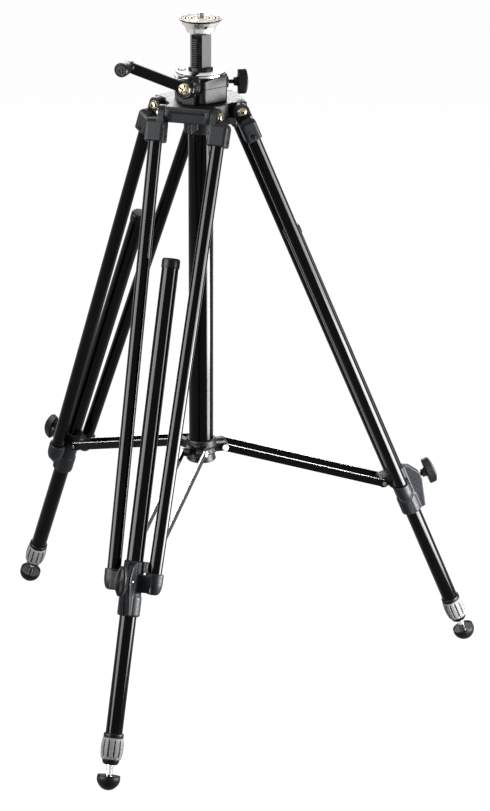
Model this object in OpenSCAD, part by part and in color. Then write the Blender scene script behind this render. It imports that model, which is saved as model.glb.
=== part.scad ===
// Three-legged camera stand with a geared centre column, twin-strut legs and a folding spreader.
// Z is up and the feet stand on z = 0. The front leg points along -Y.

/* [Stand] */
// Angle of the opened legs from vertical
leg_angle = 23; // [20:0.5:26]
// Distance of each leg's hinge line from the column axis
hinge_r = 50; // [49:0.5:54]
// Distance along a leg from its hinge to the centre of the ball foot
leg_length = 936.5; // [860:0.5:980]
// Diameter of the ball feet
foot_d = 31; // [26:0.5:34]

/* [Legs] */
// Diameter of the twin strut tubes
strut_d = 19.5; // [18:0.5:20]
// Half of the strut spacing at the hinge
strut_half_top = 47; // [45:0.5:49]
// Half of the strut spacing at the collar
strut_half_low = 30.3; // [30:0.1:32]
// Distance from the hinge to the top of the collar ears
ear_s = 645; // [620:1:660]
// Diameter of the sliding leg tube
tube_d = 24; // [22:0.5:25]
// Distance from the hinge to the top of the sliding tube's cap
tube_top_s = 204; // [150:1:300]
// How far the sliding tube stands in front of the strut plane
tube_n = 4; // [2:0.5:5]
// Diameter of the inner leg tube
inner_d = 16; // [14:0.5:17]

/* [Spreader] */
// Height of the hub pivots above the floor
hub_z = 359.5; // [340:0.5:380]
// Distance of the hub pivots from the column axis
hub_r = 33; // [31:0.5:36]
// Height of a spreader bar's section
bar_h = 11; // [8:0.5:12]

/* [Column] */
// Height of the mounting plate's face
plate_z = 1003.8; // [995:0.1:1030]
// Diameter of the mounting plate
plate_d = 60; // [54:1:66]
// Corner radius of the six-sided column
column_r = 16.2; // [15.5:0.1:16.2]
// Length of the column
column_len = 560; // [500:5:570]
// Turn of the gear housing and column from the front leg
gear_turn = -5; // [-8:0.5:0]

/* [Crank] */
// Height of the crank's axis above the floor
crank_z = 914.5; // [912:0.5:916]
// Distance from the crank's axis to the grip's axis
crank_len = 78; // [68:1:80]
// Angle of the crank arm above horizontal
crank_rise = 25; // [0:1:60]
// Outward lean of the crank arm, which carries it clear of the legs
crank_lean = 24; // [23:0.5:27]

/* [Hidden] */
LEGS = ["front", "right", "left"];
PER_LEG = ["struts", "hinge_castings", "collar", "lower_tube", "tube_cap", "tube_ring", "lock_knob",
           "foot_lock", "stop_ring", "inner_tube", "rubber_foot", "spreader_bars", "bar_rivets"];
$fn = 64;

// Clearances
run = 0.08;
side = 0.1;

// Stance
foot_r = foot_d / 2;
hinge_z = foot_r + leg_length * cos(leg_angle) - tube_n * sin(leg_angle);
foot_circle = hinge_r + leg_length * sin(leg_angle) + tube_n * cos(leg_angle);
centre_shift = foot_circle / 4;

// Crown
lug_half = 34 - side;
lug_front = 59;
lug_low = hinge_z - 11;
crown_top = hinge_z + 12;
crown_r = 50;
boss_r = 24;
boss_low = crown_top - 48;
pin_r = 4;
tongue_r = 11.5;
tongue_in = 34;
tongue_out = 44;
head_out = 49;

// Sheath, hub and spreader
sheath_r = 18;
sheath_wall = 1.5;
sheath_low = hub_z - 14.5;
hub_low = hub_z - 9;
hub_high = hub_z + 13;
hub_ring_r = 23;
bar_in = 15.2;
bar_t = 3;
hub_pin_r = 3;
lug_s = ear_s - 6.5;
lug_n = -21;
end_r = hinge_r + lug_s * sin(leg_angle) + lug_n * cos(leg_angle);
end_z = hinge_z - lug_s * cos(leg_angle) + lug_n * sin(leg_angle);
bar_len = norm([end_r - hub_r, end_z - hub_z]);
bar_slope = atan2(hub_z - end_z, end_r - hub_r);

// Leg tube and foot, as distances along the leg
strut_start = 16;
strut_end = ear_s + 24;
casting_end = 42;
casting_r = 14;
tube_wall = 1.6;
cap_len = 14;
ring_s = leg_length - 64.5;
lock_s = leg_length - 58.5;
lock_end = leg_length - 28;
stop_end = leg_length - 20.5;
inner_top = 420;
tube_end = lock_s + 14;
sleeve_top = ear_s - 15;
sleeve_step = ear_s + 35;
sleeve_end = ear_s + 62;
sleeve_r = 14.6;
sleeve_low_r = 16;
knob_s = ear_s + 14;
knob_boss_n = 36;
fin_half = 7.8;
screw_r = 3;

// Gear train: pinion and rack of module 1, wheel and worm beside them
module_mm = 1;
pitch = PI * module_mm;
pinion_teeth = 16;
pinion_r = pinion_teeth * module_mm / 2;
column_face = column_r * cos(30);
rack_depth = 2;
rack_pitch_x = column_face - 1;
pinion_x = rack_pitch_x + pinion_r;
wheel_r = 6.8;
worm_r = 3.6;
shaft_r = 5;
cross_z = crank_z - wheel_r - worm_r - side;
rack_left = -8;
rack_right = -0.4;
column_top = plate_z - 22;
column_low = column_top - column_len;
stud_r = 4.76;
shank_r = 4;
relief = 0.6;
rack_count = floor((column_len - 12) / pitch);
housing_low = crown_top;
housing_high = crown_top + 32;
flange_z = plate_z - 75;
flange_r = 35.5;
bush_r = 17.5;
arm_back = 49;
arm_front = 60;

function azimuth(i) = -90 + 120 * i;

// Local axes in a leg: x out of the strut plane, y along the hinge, z up the leg.
module at_leg(i) {
    translate([0, centre_shift, 0])
        rotate([0, 0, azimuth(i)])
            translate([hinge_r, 0, hinge_z])
                rotate([0, -leg_angle, 0])
                    children();
}

// Local axes on the centre line, with x towards leg i.
module at_side(i) {
    translate([0, centre_shift, 0])
        rotate([0, 0, azimuth(i)])
            children();
}

// Local axes of the gear housing: x along the crank's shaft, away from the column.
module at_gear() {
    translate([0, centre_shift, 0])
        rotate([0, 0, -90 + gear_turn])
            children();
}

// Local axes of a strut: z up the strut, origin on the hinge line.
module at_strut(sign_y) {
    lean = atan((strut_half_top - strut_half_low) / ear_s);
    translate([0, sign_y * strut_half_top, 0])
        rotate([-sign_y * lean, 0, 0])
            children();
}

// A rod along y between two values of y.
module rod_y(r, y0, y1) {
    translate([0, y1, 0])
        rotate([90, 0, 0])
            cylinder(r = r, h = y1 - y0);
}

// A rod along x between two values of x.
module rod_x(r, x0, x1) {
    translate([x0, 0, 0])
        rotate([0, 90, 0])
            cylinder(r = r, h = x1 - x0);
}

// A block between two corners.
module block(a, b) {
    translate(a)
        cube(b - a);
}

// A tube along z between two distances s down a leg.
module leg_tube(r, bore, s0, s1) {
    translate([tube_n, 0, -s1])
        difference() {
            cylinder(r = r, h = s1 - s0);
            translate([0, 0, -1])
                cylinder(r = bore, h = s1 - s0 + 2);
        }
}

// Casting that joins the three legs, with a lug between each pair of leg tongues.
module crown() {
    color("#2b3038")
        difference() {
            union() {
                translate([0, centre_shift, lug_low + 1])
                    cylinder(r = crown_r, h = crown_top - lug_low - 1);
                translate([0, centre_shift, boss_low])
                    cylinder(r = boss_r, h = crown_top - boss_low);
                for (i = [0 : 2])
                    at_side(i)
                        block([0, -lug_half, lug_low], [lug_front, lug_half, crown_top]);
            }
            translate([0, centre_shift, boss_low - 1])
                cylinder(r = sheath_r, h = crown_top - boss_low + 2);
            for (i = [0 : 2])
                at_side(i)
                    for (sy = [-1, 1])
                        translate([hinge_r, 0, hinge_z])
                            rod_y(pin_r, min(sy * 16, sy * 40), max(sy * 16, sy * 40));
        }
}

// Six hinge bolts with domed heads on the outside of the leg tongues.
module leg_hinge_bolts() {
    color("#d9d4c4")
        for (i = [0 : 2])
            at_side(i)
                translate([hinge_r, 0, hinge_z])
                    for (sy = [-1, 1])
                        rotate([sy * -90, 0, 0])
                            translate([0, 0, 16])
                                rotate_extrude()
                                    hinge_bolt_profile();
}

module hinge_bolt_profile() {
    shank = tongue_out + side - 16;
    polygon([[0, 0], [pin_r, 0], [pin_r, shank], [6.5, shank], [6.5, shank + 2.6], [5, shank + 4],
             [2.6, shank + 4], [2.6, shank + 2], [0, shank + 2]]);
}

// Gear housing: a six-sided block with rounded corners and the crank's bearing boss.
module gear_housing() {
    color("#24272d")
        at_gear()
            difference() {
                union() {
                    translate([0, 0, housing_low])
                        intersection() {
                            rotate([0, 0, 30])
                                cylinder(r = 41, h = housing_high - housing_low, $fn = 6);
                            cylinder(r = 38.5, h = housing_high - housing_low);
                        }
                    difference() {
                        translate([0, 0, crank_z])
                            rod_x(13.5, 20, arm_back - side);
                        translate([0, 0, housing_high - 1])
                            cylinder(r = flange_r + 0.7, h = 20);
                    }
                    block([20, -9, housing_low], [arm_back - 5, 9, crank_z]);
                }
                translate([0, 0, housing_low - 1])
                    cylinder(r = bush_r, h = 60);
                block([10, -11, cross_z - 10], [30.5, 11, crank_z + 5.4]);
                translate([0, 0, crank_z])
                    rod_x(shaft_r + run, 25, 60);
                translate([pinion_x, 0, cross_z])
                    rod_y(3 + run, -14, 14);
                rotate([0, 0, 120])
                    translate([0, 0, crank_z - 3])
                        rod_x(screw_r + run, 10, 50);
            }
}

// Tapered round flange on top of the housing, with a pocket for the level.
module top_flange() {
    color("#e4e6e8")
        at_gear()
            difference() {
                translate([0, 0, housing_high])
                    rotate_extrude()
                        polygon([[bush_r, 0], [32.4, 0], [flange_r, flange_z - housing_high - 2],
                                 [flange_r, flange_z - housing_high], [bush_r, flange_z - housing_high]]);
                translate([6.6, -26.2, flange_z - 4])
                    cylinder(r = 6, h = 5);
            }
}

// Round spirit level in the flange.
module level_vial() {
    color("#c9d24a")
        at_gear()
            translate([6.6, -26.2, flange_z - 4])
                rotate_extrude()
                    polygon([[0, 0], [6, 0], [6, 5.2], [5, 5.2], [4.4, 4.6], [0, 5]]);
}

// Black collar that guides the column.
module guide_bush() {
    color("#121315")
        at_gear()
            difference() {
                translate([0, 0, housing_high + 0.4])
                    cylinder(r = bush_r, h = flange_z - housing_high + 5.6);
                translate([0, 0, housing_high - 6])
                    rotate([0, 0, 30])
                        cylinder(r = column_r + 0.15, h = 60, $fn = 6);
            }
}

// Outer tube that hangs from the crown around the column.
module sheath_tube() {
    color("#17181b")
        translate([0, centre_shift, sheath_low])
            difference() {
                cylinder(r = sheath_r, h = crown_top - sheath_low);
                translate([0, 0, -1])
                    cylinder(r = sheath_r - sheath_wall, h = 700);
            }
}

// Flared cup that closes the sheath and stops the hub.
module sheath_end_cup() {
    floor_z = -7;
    top = hub_low - side - sheath_low;
    color("#1b1d21")
        translate([0, centre_shift, sheath_low])
            rotate_extrude()
                polygon([[0, floor_z], [21, floor_z], [22, floor_z + 1.5], [20, top - 1], [19.4, top],
                         [sheath_r, top], [sheath_r, 0], [0, 0]]);
}

// Sliding ring with a lug for each pair of spreader bars.
module hub() {
    lug = bar_in - side;
    color("#20242a")
        difference() {
            union() {
                translate([0, centre_shift, hub_low])
                    rotate_extrude()
                        polygon([[sheath_r + run, 0], [hub_ring_r, 0], [hub_ring_r, 4], [hub_ring_r - 1, 5],
                                 [hub_ring_r - 1, 10], [hub_ring_r, 11], [hub_ring_r, 15],
                                 [hub_ring_r - 1, 16], [hub_ring_r - 1, 20], [hub_ring_r - 2.5, 22],
                                 [sheath_r + run, 22]]);
                for (i = [0 : 2])
                    at_side(i) {
                        block([16, -lug, hub_z - 7], [hub_r, lug, hub_z + 7]);
                        translate([hub_r, 0, hub_z])
                            rod_y(7, -lug, lug);
                    }
            }
            translate([0, centre_shift, hub_low - 1])
                cylinder(r = sheath_r + run, h = 30);
            for (i = [0 : 2])
                at_side(i)
                    translate([hub_r, 0, hub_z])
                        rod_y(hub_pin_r, -20, 20);
        }
}

// Three pivot pins through the hub's lugs, with a head at each end.
module hub_bolts() {
    out = bar_in + bar_t + side;
    color("#dcdcd8")
        for (i = [0 : 2])
            at_side(i)
                translate([hub_r, 0, hub_z]) {
                    rod_y(hub_pin_r, -out, out);
                    rod_y(4.2, out, out + 2.4);
                    rod_y(4.2, -out - 2.4, -out);
                }
}

// Six-sided column with a toothed rack machined into its front face.
module column() {
    color("#1d1e21")
        at_gear()
            difference() {
                translate([0, 0, column_low])
                    rotate([0, 0, 30])
                        cylinder(r = column_r, h = column_len, $fn = 6);
                translate([0, 0, column_low - 1])
                    cylinder(r = 10.5, h = column_len - 20);
                translate([0, rack_right, 0])
                    rotate([90, 0, 0])
                        linear_extrude(rack_right - rack_left)
                            rack_gaps();
            }
}

// Outline of the gaps between rack teeth, joined in front of the column's face.
module rack_gaps() {
    out = column_face + 3;
    low = -round((cross_z - column_low - 10) / pitch);
    polygon(concat(
        [[out, cross_z + (low + rack_count) * pitch], [out, cross_z + (low - 0.5) * pitch]],
        [for (k = [low : low + rack_count - 1], p = [[0, -1.12], [-rack_depth, -0.62],
                                                     [-rack_depth, 0.62], [0, 1.12]])
            [column_face + 0.001 + p[0], cross_z + k * pitch + p[1]]]));
}

// Round mounting plate with concentric grooves.
module head_plate() {
    r = plate_d / 2;
    color("#d3d4d6")
        at_gear()
            translate([0, 0, column_top])
                difference() {
                    rotate_extrude()
                        polygon([[0, 0], [16.5, 0], [21, 4], [22.5, 11], [24, 11], [r - 1.2, 19.4],
                                 [r, 20.2], [r, 21.4], [r - 0.6, 22], [0, 22]]);
                    for (g = [11 : 3.4 : 26])
                        translate([0, 0, 21.3])
                            rotate_extrude()
                                translate([g, 0])
                                    square([1.2, 2]);
                    translate([0, 0, 10])
                        cylinder(r = shank_r, h = 20);
                    translate([0, 0, 21])
                        cylinder(r = stud_r + relief, h = 5);
                }
}

// Camera stud, 3/8 inch across.
module head_stud() {
    color("#c4c6c9")
        at_gear()
            translate([0, 0, column_top + 10])
                rotate_extrude()
                    polygon([[0, 0], [shank_r, 0], [shank_r, 12 + relief], [stud_r, 12 + relief],
                             [stud_r, 20 + relief], [stud_r - 1, 21 + relief], [0, 21 + relief]]);
}

// Crank shaft with the worm above the drive wheel.
module crank_shaft() {
    color("#9a9da2")
        at_gear()
            translate([0, 0, crank_z])
                rotate([0, 90, 0])
                    rotate_extrude()
                        polygon([[0, 15.5], [worm_r - 1, 15.5], [worm_r, 17], [worm_r, 31], [shaft_r, 31],
                                 [shaft_r, arm_front - 3], [0, arm_front - 3]]);
}

// Local axes of the crank: x along the shaft, y along the arm.
module at_crank() {
    at_gear()
        translate([0, 0, crank_z])
            rotate([180 - crank_rise, 0, 0])
                children();
}

grip_x = arm_back + 6 + crank_len * tan(crank_lean);

// Leaning crank arm with a hub, an end boss and the grip's pin.
module crank_arm() {
    reach = crank_len / cos(crank_lean);
    color("#16181b")
        at_crank()
            difference() {
                union() {
                    rod_x(12.5, arm_back, arm_front);
                    translate([arm_back + 6, 0, 0])
                        rotate([0, 0, 90 - crank_lean])
                            block([6, -5, -7.5], [reach - 4, 5, 7.5]);
                    translate([0, crank_len, 0]) {
                        rod_x(8.5, grip_x - 3, grip_x + 6);
                        rod_x(3, grip_x, grip_x + 28);
                    }
                }
                rod_x(shaft_r, arm_back - 12, arm_front - 3);
                rod_x(9, arm_front - 3, 120);
            }
}

// Bright cross screw that holds the crank arm.
module crank_screw() {
    color("#e0e0dc")
        at_crank()
            difference() {
                translate([arm_front - 3, 0, 0])
                    rotate([0, 90, 0])
                        rotate_extrude()
                            polygon([[0, 0], [9, 0], [9, 2.2], [6.5, 4.4], [0, 4.8]]);
                for (a = [0, 90])
                    rotate([a, 0, 0])
                        block([arm_front - 0.6, -5, -0.9], [arm_front + 4, 5, 0.9]);
            }
}

// Turning grip on the crank's pin.
module crank_grip() {
    color("#101113")
        at_crank()
            translate([grip_x + 6 + side, crank_len, 0])
                rotate([0, 90, 0])
                    rotate_extrude()
                        polygon([[3 + run, 0], [8, 0], [8.9, 1.5], [8.9, 8], [10.2, 11], [10.2, 20],
                                 [8.6, 22.6], [0, 22.6], [0, 22.1], [3 + run, 22.1]]);
}

// Pinion on its cross shaft, in mesh with the column's rack.
module pinion() {
    step = 360 / pinion_teeth;
    tip = pinion_r + 0.85;
    root = pinion_r - 1.15;
    color("#8d9095")
        at_gear()
            translate([pinion_x, 0, cross_z])
                difference() {
                    union() {
                        translate([0, -worm_r - 0.2, 0])
                            rotate([90, 0, 0])
                                linear_extrude(-rack_left - worm_r - 0.3)
                                    polygon([for (k = [0 : pinion_teeth - 1],
                                                  p = [[root, -6.6], [tip, -1.9], [tip, 1.9], [root, 6.6]])
                                        p[0] * [cos(180 + k * step + p[1]), sin(180 + k * step + p[1])]]);
                        rod_y(3, -13.5, 13.5);
                    }
                }
}

// Drive wheel beside the pinion, turned by the worm.
module drive_wheel() {
    color("#b08d4a")
        at_gear()
            translate([pinion_x, 0, cross_z])
                difference() {
                    rod_y(wheel_r, rack_right + 0.4, 7);
                    rod_y(3, -14, 14);
                }
}

// Wing of a hand knob: x along its screw, z along the wing.
module wing(x0) {
    intersection() {
        rod_x(19, x0, x0 + 12);
        block([x0, -6.5, -18], [x0 + 12, 6.5, 18]);
        translate([x0 - 20, 0, 0])
            rod_y(33, -10, 10);
    }
}

// Knob and screw that lock the column.
module column_lock_knob() {
    color("#131417")
        at_gear()
            rotate([0, 0, 120])
                translate([0, 0, crank_z - 3]) {
                    rod_x(screw_r, bush_r + side, 46);
                    rod_x(6.5, 45, 53);
                    wing(52);
                }
}

// Pair of strut tubes.
module struts(i) {
    color("#15161a")
        at_leg(i)
            for (sy = [-1, 1])
                at_strut(sy)
                    translate([0, 0, -strut_end])
                        difference() {
                            cylinder(d = strut_d, h = strut_end - strut_start);
                            translate([0, 0, -1])
                                cylinder(d = strut_d - 3, h = strut_end);
                        }
}

// Pair of castings that hinge the struts on the crown.
module hinge_castings(i) {
    color("#2c323b")
        at_leg(i)
            for (sy = [-1, 1])
                difference() {
                    union() {
                        rod_y(tongue_r, min(sy * tongue_in, sy * tongue_out), max(sy * tongue_in, sy * tongue_out));
                        block([-tongue_r, min(sy * tongue_in, sy * tongue_out), -19],
                              [tongue_r, max(sy * tongue_in, sy * tongue_out), 0]);
                        at_strut(sy)
                            translate([0, 0, -casting_end])
                                cylinder(r = casting_r, h = casting_end - 15);
                    }
                    rod_y(pin_r + run, -60, 60);
                    at_strut(sy)
                        translate([0, 0, -casting_end - 1])
                            cylinder(d = strut_d, h = casting_end + 1 - strut_start);
                }
}

// Collar: clamp sleeve for the sliding tube, an ear for each strut and the spreader's lug.
module collar(i) {
    lug = bar_in - 0.4;
    color("#2c323b")
        at_leg(i)
            difference() {
                union() {
                    translate([tube_n, 0, -sleeve_step])
                        cylinder(r = sleeve_r, h = sleeve_step - sleeve_top);
                    translate([tube_n, 0, -sleeve_end])
                        cylinder(r = sleeve_low_r, h = sleeve_end - sleeve_step);
                    for (sy = [-1, 1])
                        difference() {
                            at_strut(sy)
                                translate([0, 0, -strut_end - 4])
                                    cylinder(r = 12.6, h = strut_end + 4 - ear_s);
                            block([-20, -18.8, -sleeve_end], [8, 18.8, -sleeve_top]);
                        }
                    block([8, -30, -ear_s - 29], [13.5, 30, -ear_s - 3]);
                    block([lug_n, -lug, -lug_s - 8], [-6, lug, -lug_s + 8]);
                    translate([lug_n, 0, -lug_s])
                        rod_y(8, -lug, lug);
                    translate([0, 0, -knob_s])
                        rod_x(8.5, tube_n + 10, knob_boss_n);
                    rotate([90, 0, 0])
                        linear_extrude(2 * fin_half, center = true)
                            polygon([[tube_n, -sleeve_top - 2], [17, -sleeve_top - 2], [26, -ear_s + 8],
                                     [knob_boss_n, -ear_s - 8], [knob_boss_n, -ear_s - 19],
                                     [33, -ear_s - 30], [24.5, -sleeve_end + 6], [tube_n, -sleeve_end + 6]]);
                }
                translate([tube_n, 0, -sleeve_end - 1])
                    cylinder(d = tube_d + 2 * run, h = sleeve_end - sleeve_top + 2);
                for (sy = [-1, 1])
                    at_strut(sy)
                        translate([0, 0, -strut_end])
                            cylinder(d = strut_d, h = strut_end - ear_s + 1);
                translate([0, 0, -knob_s])
                    rod_x(screw_r + run, tube_n, knob_boss_n + 1);
            }
}

// Sliding leg tube.
module lower_tube(i) {
    color("#15161a")
        at_leg(i)
            leg_tube(tube_d / 2, tube_d / 2 - tube_wall, tube_top_s + 2, tube_end);
}

// Plastic cap on the top of the sliding tube.
module tube_cap(i) {
    color("#1a1b1d")
        at_leg(i)
            translate([tube_n, 0, -tube_top_s - cap_len])
                rotate_extrude()
                    polygon([[tube_d / 2, 0], [tube_d / 2 + 1, 0], [tube_d / 2 + 1, cap_len - 1],
                             [tube_d / 2, cap_len], [0, cap_len], [0, cap_len - 2],
                             [tube_d / 2, cap_len - 2]]);
}

// Black ring above the foot lock.
module tube_ring(i) {
    color("#101113")
        at_leg(i)
            leg_tube(tube_d / 2 + 2.2, tube_d / 2, ring_s, lock_s - side);
}

// Knob and screw that clamp the sliding tube.
module lock_knob(i) {
    color("#131417")
        at_leg(i)
            translate([0, 0, -knob_s]) {
                rod_x(screw_r, tube_n + tube_d / 2 + side, knob_boss_n + 2);
                rod_x(6, knob_boss_n + side, knob_boss_n + 12);
                wing(knob_boss_n + 11);
            }
}

// Fluted twist lock for the inner tube.
module foot_lock(i) {
    flutes = 14;
    h = lock_end - lock_s;
    color("#c9cbce")
        at_leg(i)
            translate([tube_n, 0, -lock_end])
                difference() {
                    rotate_extrude()
                        polygon([[inner_d / 2 + run, 0], [13, 0], [15, 4], [15.8, 12], [15.8, h - 4],
                                 [14.6, h], [tube_d / 2 + run, h], [tube_d / 2 + run, h - 15],
                                 [inner_d / 2 + run, h - 15]]);
                    for (k = [0 : flutes - 1])
                        rotate([0, 0, k * 360 / flutes])
                            translate([17.6, 0, 3])
                                cylinder(r = 2.6, h = h - 5, $fn = 24);
                }
}

// Stop ring on the end of the inner tube.
module stop_ring(i) {
    color("#101113")
        at_leg(i)
            translate([tube_n, 0, -stop_end])
                rotate_extrude()
                    polygon([[inner_d / 2, 0], [10, 0], [11.8, 2.5], [12.2, stop_end - lock_end - side],
                             [inner_d / 2, stop_end - lock_end - side]]);
}

// Inner leg tube with a slider at its top and a turned spigot for the foot at its end.
module inner_tube(i) {
    slider_r = tube_d / 2 - tube_wall - 0.1;
    color("#c8cacd")
        at_leg(i)
            translate([tube_n, 0, 0])
                rotate_extrude()
                    polygon([[0, -leg_length + 4], [5, -leg_length + 4], [5, -stop_end],
                             [inner_d / 2, -stop_end], [inner_d / 2, -inner_top - 18],
                             [slider_r, -inner_top - 18], [slider_r, -inner_top],
                             [inner_d / 2 - 1.4, -inner_top], [inner_d / 2 - 1.4, -stop_end + 22],
                             [0, -stop_end + 22]]);
}

// Rubber ball foot with a recessed top and a groove.
module rubber_foot(i) {
    color("#141414")
        at_leg(i)
            translate([tube_n, 0, -leg_length])
                difference() {
                    intersection() {
                        sphere(r = foot_r);
                        translate([0, 0, -20])
                            cylinder(r = 20, h = 24.5);
                    }
                    translate([0, 0, -4 - side])
                        cylinder(r = 5 + run, h = 20);
                    translate([0, 0, 3])
                        rotate_extrude()
                            polygon([[4, 0], [9, 0], [10.5, 2], [4, 2]]);
                }
}

// Pair of flat spreader bars.
module spreader_bars(i) {
    color("#131417")
        at_side(i)
            translate([hub_r, 0, hub_z])
                rotate([0, bar_slope, 0])
                    for (sy = [-1, 1])
                        translate([0, sy * (bar_in + bar_t / 2), 0])
                            difference() {
                                union() {
                                    block([0, -bar_t / 2, -bar_h / 2], [bar_len, bar_t / 2, bar_h / 2]);
                                    rod_y(bar_h / 2, -bar_t / 2, bar_t / 2);
                                    translate([bar_len, 0, 0])
                                        rod_y(bar_h / 2, -bar_t / 2, bar_t / 2);
                                }
                                rod_y(hub_pin_r + run, -5, 5);
                                translate([bar_len, 0, 0])
                                    rod_y(hub_pin_r, -5, 5);
                            }
}

// Flush rivets in the outer ends of the spreader bars.
module bar_rivets(i) {
    color("#dcdcd8")
        at_side(i)
            translate([hub_r, 0, hub_z])
                rotate([0, bar_slope, 0])
                    translate([bar_len, 0, 0])
                        for (sy = [-1, 1])
                            rod_y(hub_pin_r, min(sy * bar_in, sy * (bar_in + bar_t + 0.3)),
                                  max(sy * bar_in, sy * (bar_in + bar_t + 0.3)));
}

crown();
leg_hinge_bolts();
gear_housing();
top_flange();
level_vial();
guide_bush();
sheath_tube();
sheath_end_cup();
hub();
hub_bolts();
column();
head_plate();
head_stud();
crank_shaft();
crank_arm();
crank_screw();
crank_grip();
pinion();
drive_wheel();
column_lock_knob();
for (i = [0 : 2]) {
    struts(i);
    hinge_castings(i);
    collar(i);
    lower_tube(i);
    tube_cap(i);
    tube_ring(i);
    lock_knob(i);
    foot_lock(i);
    stop_ring(i);
    inner_tube(i);
    rubber_foot(i);
    spreader_bars(i);
    bar_rivets(i);
}
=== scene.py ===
import math

import bmesh
import bpy
from mathutils import Matrix, Vector


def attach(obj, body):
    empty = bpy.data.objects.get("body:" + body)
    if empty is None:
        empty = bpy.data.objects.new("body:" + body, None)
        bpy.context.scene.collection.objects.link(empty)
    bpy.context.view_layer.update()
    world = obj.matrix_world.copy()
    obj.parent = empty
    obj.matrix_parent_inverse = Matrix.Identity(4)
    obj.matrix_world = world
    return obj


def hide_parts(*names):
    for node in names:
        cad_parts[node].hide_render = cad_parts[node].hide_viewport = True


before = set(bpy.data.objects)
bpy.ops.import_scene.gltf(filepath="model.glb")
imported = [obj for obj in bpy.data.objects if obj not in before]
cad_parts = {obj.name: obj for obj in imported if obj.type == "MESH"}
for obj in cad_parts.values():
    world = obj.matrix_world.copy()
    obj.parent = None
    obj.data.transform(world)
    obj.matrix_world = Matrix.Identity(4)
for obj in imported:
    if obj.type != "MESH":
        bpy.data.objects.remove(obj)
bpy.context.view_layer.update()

# ---------------------------------------------------------------- sizes, in millimetres
MM = 0.001
LEGS = {"front": -90, "right": 30, "left": 150}

leg_angle = 23
hinge_r = 50
leg_length = 936.5
foot_r = 15.5
strut_r = 9.75
strut_half_top = 47
strut_half_low = 30.3
ear_s = 645
tube_r = 12
tube_n = 4
tube_top_s = 204
inner_r = 8
inner_top = 420
slider_r = 10.3
hub_z = 359.5
hub_r = 33
bar_h = 11
bar_in = 15.2
bar_t = 3
plate_z = 1003.8
column_r = 16.2
gear_turn = -5
crank_z = 914.5
crank_len = 78
crank_rise = 25
crank_lean = 24
knob_boss_n = 36
casting_end = 42
sleeve_end = ear_s + 63

sin_leg = math.sin(math.radians(leg_angle))
cos_leg = math.cos(math.radians(leg_angle))
hinge_z = foot_r + leg_length * cos_leg - tube_n * sin_leg
foot_circle = hinge_r + leg_length * sin_leg + tube_n * cos_leg
centre_shift = foot_circle / 4
crown_top = hinge_z + 12
housing_high = crown_top + 32
flange_z = plate_z - 75
column_top = plate_z - 22
strut_lean = math.degrees(math.atan((strut_half_top - strut_half_low) / ear_s))
lug_s = ear_s - 6.5
lug_n = -21
end_r = hinge_r + lug_s * sin_leg + lug_n * cos_leg
end_z = hinge_z - lug_s * cos_leg + lug_n * sin_leg
bar_len = math.hypot(end_r - hub_r, end_z - hub_z)
bar_slope = math.degrees(math.atan2(hub_z - end_z, end_r - hub_r))
column_face = column_r * math.cos(math.radians(30))
rack_z = crank_z - 10.5
grip_x = 55 + crank_len * math.tan(math.radians(crank_lean))


# ---------------------------------------------------------------- local axes
def move(x, y, z):
    return Matrix.Translation((x * MM, y * MM, z * MM))


def turn(degrees, axis):
    return Matrix.Rotation(math.radians(degrees), 4, axis)


CENTRE = move(0, centre_shift, 0)
GEAR = CENTRE @ turn(-90 + gear_turn, "Z")
CRANK = GEAR @ move(0, 0, crank_z) @ turn(180 - crank_rise, "X")
COLUMN_KNOB = GEAR @ turn(120, "Z") @ move(0, 0, crank_z - 3)
ALONG_X = turn(90, "Y")


def side_axes(leg):
    return CENTRE @ turn(LEGS[leg], "Z")


def leg_axes(leg):
    return side_axes(leg) @ move(hinge_r, 0, hinge_z) @ turn(-leg_angle, "Y")


def strut_axes(leg, sign):
    return leg_axes(leg) @ move(0, sign * strut_half_top, 0) @ turn(-sign * strut_lean, "X")


# ---------------------------------------------------------------- materials
def new_material(name):
    material = bpy.data.materials.new(name)
    material.use_nodes = True
    tree = material.node_tree
    shader = tree.nodes["Principled BSDF"]
    return material, tree, shader


def add_node(tree, kind, **inputs):
    node = tree.nodes.new(kind)
    for key, value in inputs.items():
        node.inputs[key.replace("_", " ")].default_value = value
    return node


def noise(tree, scale, detail=3.0, stretch=(1, 1, 1)):
    """Noise in the piece's own axes, in metres, stretched along some of them."""
    coords = tree.nodes.new("ShaderNodeTexCoord")
    mapping = add_node(tree, "ShaderNodeMapping", Scale=stretch)
    texture = add_node(tree, "ShaderNodeTexNoise", Scale=scale, Detail=detail)
    tree.links.new(coords.outputs["Object"], mapping.inputs["Vector"])
    tree.links.new(mapping.outputs["Vector"], texture.inputs["Vector"])
    return texture.outputs["Fac"]


def ramp(tree, source, low, high, start=0.3, end=0.7):
    """Maps a value to a range, or to a blend of two colours."""
    if isinstance(low, tuple):
        node = tree.nodes.new("ShaderNodeValToRGB")
        node.color_ramp.elements[0].position = start
        node.color_ramp.elements[1].position = end
        node.color_ramp.elements[0].color = (*low, 1)
        node.color_ramp.elements[1].color = (*high, 1)
        tree.links.new(source, node.inputs["Fac"])
        return node.outputs["Color"]
    node = tree.nodes.new("ShaderNodeMapRange")
    for key, value in zip(("From Min", "From Max", "To Min", "To Max"), (start, end, low, high)):
        node.inputs[key].default_value = value
    tree.links.new(source, node.inputs["Value"])
    return node.outputs["Result"]


def bump(tree, source, shader, depth_mm, strength=1.0, under=None):
    node = add_node(tree, "ShaderNodeBump", Distance=depth_mm * MM, Strength=strength)
    tree.links.new(source, node.inputs["Height"])
    if under is not None:
        tree.links.new(under, node.inputs["Normal"])
    tree.links.new(node.outputs["Normal"], shader.inputs["Normal"])
    return node.outputs["Normal"]


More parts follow.
